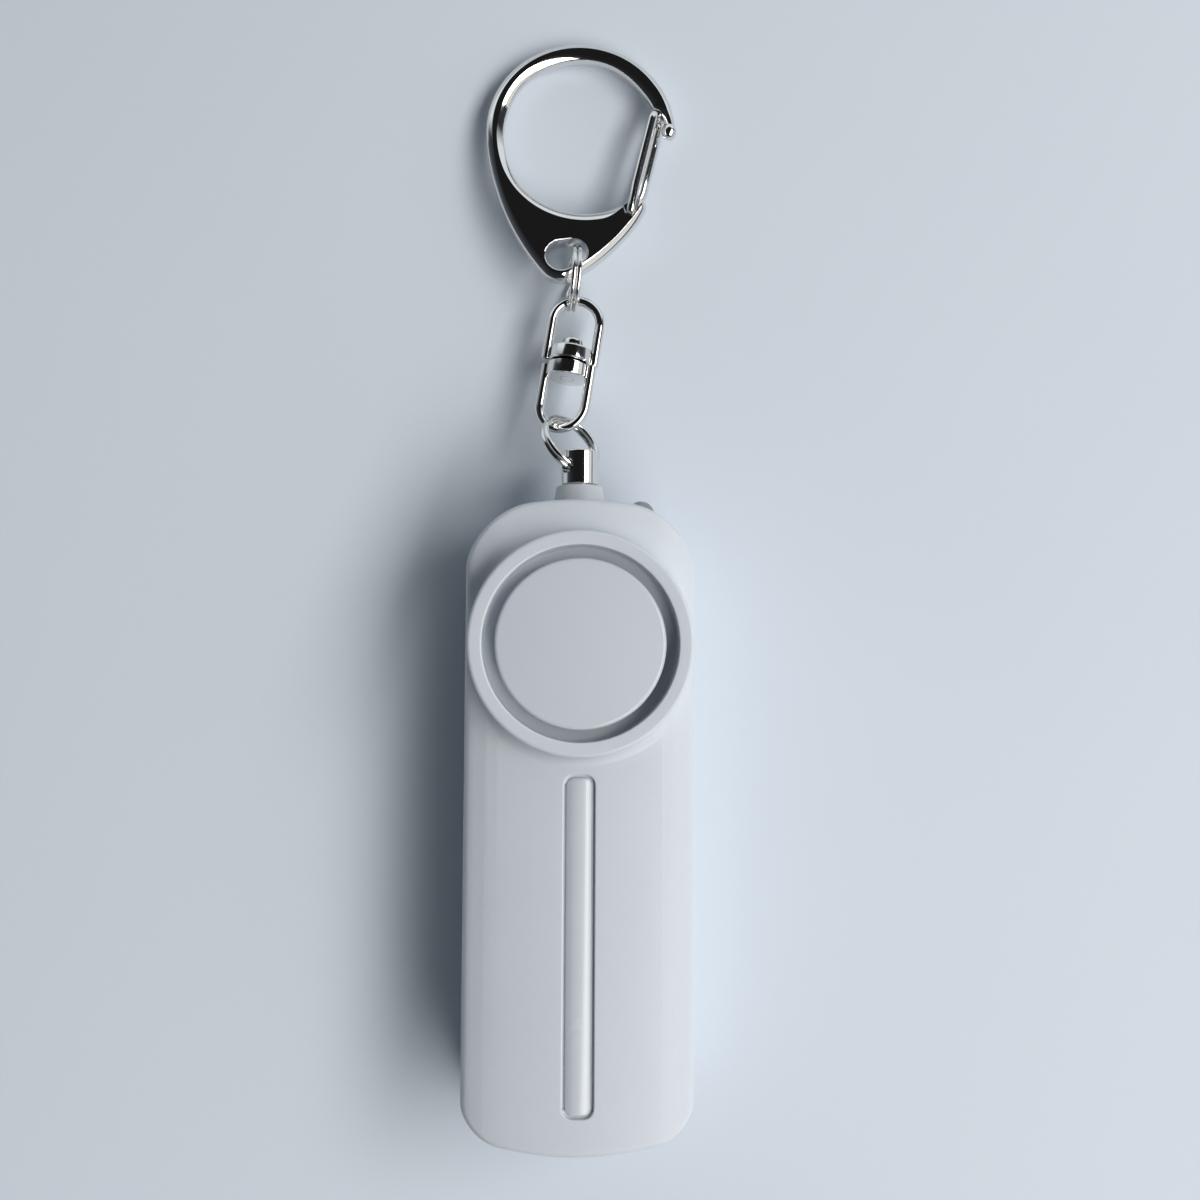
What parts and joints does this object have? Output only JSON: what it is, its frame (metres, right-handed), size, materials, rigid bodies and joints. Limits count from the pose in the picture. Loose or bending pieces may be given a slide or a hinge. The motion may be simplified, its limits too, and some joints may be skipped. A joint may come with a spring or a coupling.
{
  "type": "personal safety alarm",
  "caption": "Pocket personal alarm: white plastic case with a raised ring siren and a light strip, set off by a pull pin on split rings, a swivel and a sprung snap clip.",
  "frame": {"origin": "foot of the siren's axis on the flat back of the case, so the case lies on its back at z = 0", "axes": "+Y along the length from the case to the clip, +Z out of the front of the case, +X to the right seen from the front"},
  "size_m": [0.0292, 0.149, 0.0215],
  "materials": {
    "case_plastic": "satin white moulded plastic with a fine grain",
    "cap_plastic": "smooth glossy white plastic",
    "strip_plastic": "milky translucent plastic",
    "collar_plastic": "smooth white plastic",
    "led_resin": "water-clear resin",
    "nickel": "polished nickel plate",
    "ring_steel": "nickel-plated spring wire",
    "screw_steel": "zinc-plated steel",
    "contact_metal": "nickel-plated spring steel",
    "board_laminate": "green solder mask",
    "chip_led": "white package with a yellow lens",
    "ferrite": "dark ferrite",
    "dark_plastic": "black moulded plastic",
    "plunger_plastic": "natural plastic",
    "can_metal": "drawn can",
    "piezo_brass": "bare brass disc",
    "piezo_disc": "silvered ceramic",
    "seal_rubber": "black rubber",
    "cell_jacket": "plain printed-free jacket"
  },
  "bodies": {
    "case": {"front_shell": "case_plastic", "rear_shell": "case_plastic", "battery_door": "case_plastic", "door_screw": "screw_steel", "case_screws": "screw_steel", "siren_cap": "cap_plastic", "light_strip": "strip_plastic", "strobe_led": "led_resin", "led_leads": "contact_metal", "pin_collar": "collar_plastic", "circuit_board": "board_laminate", "strip_leds": "chip_led", "boost_coil": "ferrite", "driver_chip": "dark_plastic", "capacitor": "can_metal", "piezo_plate": "piezo_brass", "piezo_ceramic": "piezo_disc", "sounder_seat": "seal_rubber", "pin_switch": "dark_plastic", "battery_left": "cell_jacket", "battery_right": "cell_jacket", "contact_springs": "contact_metal", "contact_plates": "contact_metal"},
    "plunger": {"switch_plunger": "plunger_plastic"},
    "pin": {"pull_pin": "nickel", "pin_oring": "seal_rubber"},
    "lower_ring": {"lower_split_ring": "ring_steel"},
    "swivel_lower": {"swivel_lower_loop": "nickel", "swivel_rivet": "nickel"},
    "swivel_upper": {"swivel_upper_loop": "nickel"},
    "upper_ring": {"upper_split_ring": "ring_steel"},
    "clip": {"clip_body": "nickel"},
    "gate": {"gate_wire": "nickel"}
  },
  "joints": [
    {"name": "pin_pull", "type": "slide", "parent": "case", "child": "pin", "axis": [0, 1, 0], "range_m": [0, 0.014]},
    {"name": "plunger_slide", "type": "slide", "parent": "case", "child": "plunger", "axis": [0, 1, 0], "range_m": [0, 0.0012]},
    {"name": "lower_ring_swing", "type": "hinge", "parent": "pin", "child": "lower_ring", "pos_m": [0, 0.02405, 0.00975], "axis": [-0.7547, 0, 0.6561], "range_deg": [-90, 45]},
    {"name": "swivel_swing", "type": "hinge", "parent": "lower_ring", "child": "swivel_lower", "pos_m": [-0.00265, 0.03104, 0.0067], "axis": [0.7547, 0, -0.6561], "range_deg": [-80, 40]},
    {"name": "swivel_spin", "type": "hinge", "parent": "swivel_lower", "child": "swivel_upper", "pos_m": [-0.00144, 0.03884, 0.00579], "axis": [0.152, 0.9817, -0.1149], "continuous": true},
    {"name": "upper_ring_swing", "type": "hinge", "parent": "swivel_upper", "child": "upper_ring", "pos_m": [-0.00092, 0.04811, 0.00472], "axis": [0.9882, -0.153, 0], "range_deg": [-70, 70]},
    {"name": "clip_swing", "type": "hinge", "parent": "upper_ring", "child": "clip", "pos_m": [-0.00056, 0.05526, 0.00487], "axis": [0.1389, -0.009, 0.9903], "range_deg": [-40, 40]},
    {"name": "gate_open", "type": "hinge", "parent": "clip", "child": "gate", "pos_m": [0.00694, 0.06043, 0.00432], "axis": [0, 0.1045, 0.9945], "range_deg": [0, 32], "stiffness_Nm_per_rad": 0.02, "springref_deg": -14.32}
  ],
  "couplings": [
    {"joint": "plunger_slide", "follows": "pin_pull", "ratio": 0.0857}
  ]
}
